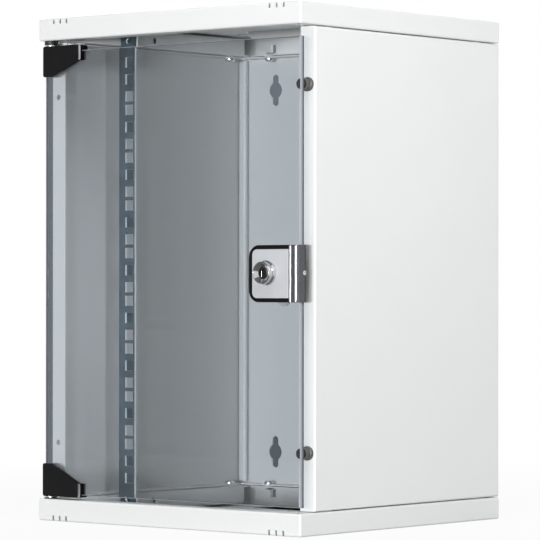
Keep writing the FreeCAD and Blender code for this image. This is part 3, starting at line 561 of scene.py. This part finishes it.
black_coat = sprayed_finish("black_coat", grain=1500.0, drift=60.0,
                            tones=((0.003, 0.003, 0.0034), (0.007, 0.007, 0.008)), gloss=(0.24, 0.40),
                            bump=(0.12, 0.1 * MM), Specular_IOR_Level=0.10)
# A paler, metallic coat for the upright bevel only, as a painted highlight.
highlight_coat = sprayed_finish("black_coat_painted_highlight", grain=1500.0, drift=60.0,
                             tones=((0.10, 0.10, 0.11), (0.24, 0.24, 0.25)), gloss=(0.20, 0.30),
                             bump=(0.05, 0.1 * MM), Metallic=0.6)
for node in ("upper_hinge_clamp", "lower_hinge_clamp"):
    clamp = merged_copy(node)
    for face in clamp.faces:
        slanted = BEVEL_LEAST < face.normal.x < BEVEL_MOST and face.normal.y < BEVEL_FORWARD
        upright = abs(face.normal.z) < BEVEL_LEVEL
        face.material_index = 1 if slanted and upright else 0
    ease(clamp, CLAMP_EDGE)
    finish_piece(clamp, "coated_" + node, "door", "black_coat", [black_coat, highlight_coat], node)
for node in ("upper_hinge_washer", "lower_hinge_washer"):
    eased_piece(node, WASHER_EDGE, "plated_" + node, "door", "bright_steel", bright_steel)
dress(bright_steel, "upper_hinge_pin", "lower_hinge_pin", "hinge_set_screws")


# Lock housing with its face plate, trim strips and grub screw.
# The housing is a die-cast clamp on the glass's free edge, coated black; right of the strips, its faces
# that look to the front and right are dark grey, a painted sheen.
# A satin silver plate is let on to its front, and two brushed, chromed half-round strips stand beside it.
HOUSING_EDGE = 0.5 * MM
HOUSING_EDGE_STEPS = 3
SHEEN_FACING = -0.9
FACE_EDGE = 0.2 * MM
STRIP_FACES = 32
STRIP_INSET = 0.5 * MM

painted_sheen_coat = sprayed_finish("dark_grey_painted_sheen", grain=1500.0, drift=90.0,
                           tones=((0.040, 0.043, 0.052), (0.072, 0.076, 0.090)), gloss=(0.20, 0.34),
                           bump=(0.12, 0.1 * MM), Specular_IOR_Level=0.3)
strips_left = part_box("lock_trim_strips")[0].x
housing = merged_copy("lock_housing")
everything = housing.verts[:] + housing.edges[:] + housing.faces[:]
bmesh.ops.bisect_plane(housing, geom=everything, plane_co=(strips_left, 0, 0), plane_no=(1, 0, 0),
                       dist=WELD)
# Right of the strips, faces that look front and right get the dark grey painted sheen.
for face in housing.faces:
    facing_front_right = face.normal.y - face.normal.x < SHEEN_FACING
    face.material_index = 1 if facing_front_right and face.calc_center_median().x > strips_left else 0
ease(housing, HOUSING_EDGE, HOUSING_EDGE_STEPS)
finish_piece(housing, "coated_lock_housing", "door", "black_coat", [black_coat, painted_sheen_coat],
             "lock_housing")

satin_plate = streaked_finish("satin_silver_plate", stretch=(40.0, 40.0, 1500.0), bloom=60.0,
                              tones=((0.46, 0.475, 0.50), (0.54, 0.555, 0.58)), gloss=(0.32, 0.46),
                              Metallic=0.3)
eased_piece("lock_face_plate", FACE_EDGE, "satin_face_plate", "door", "satin_plate", satin_plate)

brushed_chrome = streaked_finish("brushed_chrome", stretch=(900.0, 900.0, 30.0), bloom=90.0,
                                 tones=((0.50, 0.51, 0.52), (0.62, 0.62, 0.63)), gloss=(0.24, 0.32),
                                 depth=0.02, Metallic=1.0)
strips = bmesh.new()
for low, high in solid_boxes("lock_trim_strips"):
    size = high - low
    place = Matrix.Translation(((low.x + high.x) / 2, high.y, (low.z + high.z) / 2))
    oval = Matrix.Diagonal((size.x / 2 - STRIP_INSET, size.y, size.z, 1))
    made = bmesh.ops.create_cone(strips, cap_ends=True, segments=STRIP_FACES, radius1=1, radius2=1,
                                 depth=1, matrix=place @ oval)["verts"]
    lines = {edge for vert in made for edge in vert.link_edges}
    faces = {face for vert in made for face in vert.link_faces}
    bmesh.ops.bisect_plane(strips, geom=made + list(lines) + list(faces), plane_co=(0, high.y, 0),
                           plane_no=(0, 1, 0), clear_outer=True, dist=WELD)
bmesh.ops.holes_fill(strips, edges=strips.edges)
bmesh.ops.recalc_face_normals(strips, faces=strips.faces)
finish_piece(strips, "chromed_trim_strips", "door", "chrome", [brushed_chrome], "lock_trim_strips")
dress(bright_steel, "lock_housing_screw")


# Lock barrel and its nut.
# The barrel is a chromed turning: a stepped collar on the face plate, a grooved nose with a dished front,
# and behind the housing a thread with a hexagon nut.
BARREL_STEPS = 72
BARREL_EDGE = 0.1 * MM
NOSE_RADIUS = 9.75 * MM
COLLAR_LENGTH = 2.2 * MM
COLLAR_SLOPE = 1.0 * MM
THREAD_RADIUS = 9.0 * MM
THREAD_PITCH = 1.0 * MM
THREAD_DEPTH = 0.45 * MM
THREAD_TURNS = 7
BORE_RADIUS = 4.85 * MM
GROOVE = 0.35 * MM
GROOVE_LENGTH = 0.7 * MM
FRONT_CHAMFER = 0.9 * MM
DISH_RADIUS = 8.5 * MM
DISH_DEPTH = 3.4 * MM
NUT_EDGE = 0.3 * MM

chrome = streaked_finish("chrome", stretch=(120.0, 120.0, 120.0), bloom=90.0,
                         tones=((0.44, 0.45, 0.46), (0.62, 0.62, 0.63)), gloss=(0.04, 0.11), depth=0.03,
                         Metallic=1.0)
low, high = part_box("lock_barrel")
centre = (low + high) / 2
front = -low.y
back = -high.y
collar_radius = (high.x - low.x) / 2
plate_front = -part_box("lock_face_plate")[0].y
thread = []
for step in range(THREAD_TURNS):
    start = back + step * THREAD_PITCH
    thread += [(THREAD_RADIUS - THREAD_DEPTH, start), (THREAD_RADIUS, start + THREAD_PITCH / 2)]
collar = plate_front + COLLAR_LENGTH
nose = collar + COLLAR_SLOPE + GROOVE
barrel = turned([(BORE_RADIUS, back)] + thread + [
    (THREAD_RADIUS, plate_front), (collar_radius, plate_front), (collar_radius, collar),
    (NOSE_RADIUS, collar + COLLAR_SLOPE), (NOSE_RADIUS, nose), (NOSE_RADIUS - GROOVE, nose),
    (NOSE_RADIUS - GROOVE, nose + GROOVE_LENGTH), (NOSE_RADIUS, nose + GROOVE_LENGTH),
    (NOSE_RADIUS, front - FRONT_CHAMFER), (NOSE_RADIUS - FRONT_CHAMFER, front), (DISH_RADIUS, front),
    (BORE_RADIUS, front - DISH_DEPTH), (BORE_RADIUS, back)], BARREL_STEPS)
ease(barrel, BARREL_EDGE)
lock_axis = Matrix.Translation((centre.x, 0, centre.z)) @ TO_FRONT
bmesh.ops.transform(barrel, matrix=lock_axis, verts=barrel.verts)
finish_piece(barrel, "chromed_lock_barrel", "door", "chrome", [chrome], "lock_barrel")
eased_piece("lock_nut", NUT_EDGE, "plated_lock_nut", "door", "bright_steel", bright_steel)


# Lock core: plug, cam and cam screw.
# The plug is a nickel-plated turning with a key slot. The cam is a zinc-plated stamping that a screw
# holds on the plug's flatted end, and it swings behind the cabinet's right flange.
PLUG_EDGE = 0.12 * MM
CAM_EDGE = 0.3 * MM

eased_piece("lock_plug", PLUG_EDGE, "plated_lock_plug", "lock_core", "chrome", chrome)
pale_zinc = streaked_finish("pale_zinc_plate", stretch=(260.0, 260.0, 40.0), bloom=90.0,
                            tones=((0.40, 0.42, 0.44), (0.55, 0.57, 0.59)), gloss=(0.35, 0.55),
                            Metallic=0.4)
eased_piece("lock_cam", CAM_EDGE, "plated_lock_cam", "lock_core", "zinc_plate", pale_zinc)
dress(bright_steel, "cam_screw")


# Stage: a pale matt floor and white surroundings.
# Whatever looks past the cabinet, straight, off a mirror or through glass, sees white. The floor keeps the
# cabinet's soft shadow, and right under the cabinet it is painted near black, a painted shadow.
AMBIENT = 0.12
BACKGROUND = 1.0
FLOOR_SIZE = 80.0
FLOOR_GLOW = 0.94
FLOOR_NEAR = 0.35
FLOOR_FAR = 1.2
FLOOR_PAINTED_SHADOW_TONES = ((0.01, 0.01, 0.01), (0.52, 0.52, 0.52))
PAINTED_SHADOW_EDGE = 0.92


def seen_directly(tree):
    """One where a ray from the camera arrives straight, off a mirror or through glass, else zero."""
    light = add(tree, "ShaderNodeLightPath").outputs
    first = reckon(tree, "MAXIMUM", light["Is Camera Ray"], light["Is Glossy Ray"])
    both = reckon(tree, "MAXIMUM", first, light["Is Transmission Ray"])
    direct = reckon(tree, "LESS_THAN", light["Diffuse Depth"], 0.5)
    return reckon(tree, "MULTIPLY", both, direct)


def stage_piece(name, shape, material):
    """Make an object of a shape that belongs to the stage and not to the cabinet."""
    mesh = bpy.data.meshes.new(name)
    shape.to_mesh(mesh)
    shape.free()
    mesh.materials.append(material)
    piece = bpy.data.objects.new(name, mesh)
    bpy.context.scene.collection.objects.link(piece)
    piece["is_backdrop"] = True
    return piece


world = bpy.data.worlds.new("white_studio")
bpy.context.scene.world = world
world.use_nodes = True
tree = world.node_tree
level = ranged(tree, seen_directly(tree), low=AMBIENT, high=BACKGROUND)
tree.links.new(level, tree.nodes["Background"].inputs["Strength"])
tree.nodes["Background"].inputs["Color"].default_value = (1, 1, 1, 1)

pale_floor, tree, shader = new_finish("pale_floor", Roughness=0.9, Specular_IOR_Level=0.0)
place = own_place(tree)
away = add(tree, "ShaderNodeVectorMath", {0: place}, operation="LENGTH").outputs["Value"]
fade = ranged(tree, away, FLOOR_NEAR, FLOOR_FAR, low=FLOOR_GLOW, interpolation_type="SMOOTHSTEP")
# Under the cabinet's footprint the floor is painted near black: a painted shadow.
apart = add(tree, "ShaderNodeSeparateXYZ", {"Vector": place})
sides = []
for axis in (0, 1):
    off_middle = reckon(tree, "ABSOLUTE", apart.outputs[axis])
    sides.append(reckon(tree, "DIVIDE", off_middle, cad_box[1][axis]))
spread = reckon(tree, "MAXIMUM", *sides)
clear = ranged(tree, spread, start=PAINTED_SHADOW_EDGE)
two_tones(tree, shader, clear, FLOOR_PAINTED_SHADOW_TONES)
share = reckon(tree, "MULTIPLY", fade, clear)
share = reckon(tree, "MULTIPLY", share, seen_directly(tree))
mix_surfaces(tree, share, shader, add(tree, "ShaderNodeEmission", {"Strength": BACKGROUND}))
shape = bmesh.new()
bmesh.ops.create_grid(shape, x_segments=1, y_segments=1, size=FLOOR_SIZE / 2)
stage_piece("floor", shape, pale_floor)


# Studio cards: flat paper that throws no shadow and bounces no light.
# A black card, a grey mat and a grey canopy show only off mirror-like surfaces, and two grey cards only
# through glass. A black lid on the upper cable opening shows only from below.
CARD_BLACK = 0.04
CARD_GREY = 0.22
CARD_LEFT = (-0.880, -1.000)
CARD_RIGHT = (-0.450, -1.000)
CARD_HEIGHT = 0.65
MAT_CORNERS = [(-0.100, -0.165), (-0.880, -1.000), (0.600, -1.000), (0.600, -0.165)]
MAT_ABOVE = 0.5 * MM
CANOPY_CORNERS = [(-2.400, -1.600), (0.800, -1.600), (0.800, 1.200), (-2.400, 1.200)]
CANOPY_HEIGHT = 1.6
BACKDROP_LEFT = [(-0.170, -0.128), (-0.170, -0.106)]
BACKDROP_BACK = [(-0.156, 0.155), (0.156, 0.155)]
BACKDROP_HEIGHT = 0.470
LEFT_TONES = ((0.112, 0.133, 0.152), (0.112, 0.133, 0.152))
BACK_TONES = ((0.080, 0.093, 0.106), (0.178, 0.204, 0.228))
LID_BLACK = 0.01
LID_ABOVE = 0.5 * MM


def matt_paper(name, tone, **constants):
    """A grey with no gloss at all."""
    return new_finish(name, Base_Color=(tone, tone, tone, 1), Roughness=1.0, Specular_IOR_Level=0.0,
                      **constants)


def card(name, corners, material):
    """A flat card between its corners, with no shadow and no bounced light."""
    shape = bmesh.new()
    shape.faces.new([shape.verts.new(corner) for corner in corners])
    piece = stage_piece(name, shape, material)
    piece.visible_diffuse = False
    piece.visible_shadow = False
    return piece


def standing(left, right, height):
    """Corners of a card that stands on the floor between two points in plan."""
    return [(*left, 0), (*right, 0), (*right, height), (*left, height)]


def backdrop_card(name, left, right, tones):
    """A card that only glass shows. It glows a little, from one grey at the floor to another at its top."""
    material, tree, shader = matt_paper(name, 0.0, Emission_Strength=1.0)
    rise = add(tree, "ShaderNodeSeparateXYZ", {"Vector": own_place(tree)}).outputs["Z"]
    two_tones(tree, shader, ranged(tree, rise, end=BACKDROP_HEIGHT), tones, "Emission Color")
    piece = card(name, standing(left, right, BACKDROP_HEIGHT), material)
    piece.visible_camera = False
    piece.visible_glossy = False


card_black = matt_paper("flag_black", CARD_BLACK)[0]
card_grey = matt_paper("flag_grey", CARD_GREY)[0]
for name, corners, material in (
        ("dark_card", standing(CARD_LEFT, CARD_RIGHT, CARD_HEIGHT), card_black),
        ("dark_mat", [(*corner, MAT_ABOVE) for corner in MAT_CORNERS], card_grey),
        ("dark_canopy", [(*corner, CANOPY_HEIGHT) for corner in CANOPY_CORNERS], card_grey)):
    piece = card(name, corners, material)
    piece.visible_camera = False
    piece.visible_transmission = False
backdrop_card("left_grey_card", *BACKDROP_LEFT, LEFT_TONES)
backdrop_card("grey_card", *BACKDROP_BACK, BACK_TONES)

lid_black, tree, shader = matt_paper("lid_black", LID_BLACK)
facing = add(tree, "ShaderNodeNewGeometry").outputs["Backfacing"]
mix_surfaces(tree, facing, add(tree, "ShaderNodeBsdfTransparent"), shader)
low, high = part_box("cable_entry_plate")
back = cad_box[1][1]
top = cad_box[1][2] + LID_ABOVE
lid_plan = [(low.x, low.y), (high.x, low.y), (high.x, back), (low.x, back)]
card("dark_lid", [(*corner, top) for corner in lid_plan], lid_black)


# Lamps: five soft boxes aimed at the cabinet's middle.
# Two stand far off in front at its height, so that their light reaches the back wall through the glass.
# The others are weaker and nearer: at the right, above the front, and behind at the left.
def soft_lamp(name, azimuth, elevation, distance, width, height, power):
    """A soft box. Azimuth 0 is straight in front, 90 the right."""
    turn = math.radians(azimuth)
    rise = math.radians(elevation)
    way = Vector((math.sin(turn) * math.cos(rise), -math.cos(turn) * math.cos(rise), math.sin(rise)))
    data = bpy.data.lights.new(name, "AREA")
    data.shape = "RECTANGLE"
    data.size = width
    data.size_y = height
    data.energy = power
    lamp = bpy.data.objects.new(name, data)
    lamp.location = Vector((0, 0, half_height)) + way * distance
    lamp.rotation_euler = way.to_track_quat("Z", "Y").to_euler()
    lamp.visible_camera = False
    bpy.context.scene.collection.objects.link(lamp)


soft_lamp("front_lamp", azimuth=12.0, elevation=-0.2, distance=5.0, width=0.7, height=0.42, power=150.0)
soft_lamp("key_lamp", azimuth=25.0, elevation=-0.2, distance=5.0, width=0.7, height=0.42, power=80.0)
soft_lamp("right_lamp", azimuth=78.0, elevation=28.0, distance=1.8, width=0.7, height=0.7, power=23.0)
soft_lamp("top_lamp", azimuth=20.0, elevation=60.0, distance=2.0, width=1.0, height=1.0, power=10.0)
soft_lamp("rear_lamp", azimuth=222.0, elevation=26.0, distance=2.8, width=1.4, height=1.4, power=50.0)


# Camera: a long lens at mid-height, to the right of the front.
# Its turn, place and lens come from the picture's frame and the cabinet's known corners.
PHOTO_WIDTH = 540
PHOTO_FOCAL = 3130
PHOTO_CENTRE = (268.4, 282.0)
CAMERA_PLACE = (1.858, -2.211, 0.213)
CAMERA_TURN = 40.07
CAMERA_RISE = 0.118
CAMERA_ROLL = 0.046
SENSOR = 36.0
data = bpy.data.cameras.new("camera")
data.sensor_width = SENSOR
data.lens = SENSOR * PHOTO_FOCAL / PHOTO_WIDTH
data.shift_x = (PHOTO_WIDTH / 2 - PHOTO_CENTRE[0]) / PHOTO_WIDTH
data.shift_y = (PHOTO_CENTRE[1] - PHOTO_WIDTH / 2) / PHOTO_WIDTH
camera = bpy.data.objects.new("camera", data)
camera.location = CAMERA_PLACE
roll = Matrix.Rotation(math.radians(CAMERA_ROLL), 3, "Z")
rise = Matrix.Rotation(math.radians(90 + CAMERA_RISE), 3, "X")
turn = Matrix.Rotation(math.radians(CAMERA_TURN), 3, "Z")
camera.rotation_euler = (turn @ (rise @ roll)).to_euler()
bpy.context.scene.collection.objects.link(camera)
bpy.context.scene.camera = camera
bpy.context.scene.view_settings.view_transform = "Standard"

boxes = {"cad": cad_box, "visual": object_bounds()}
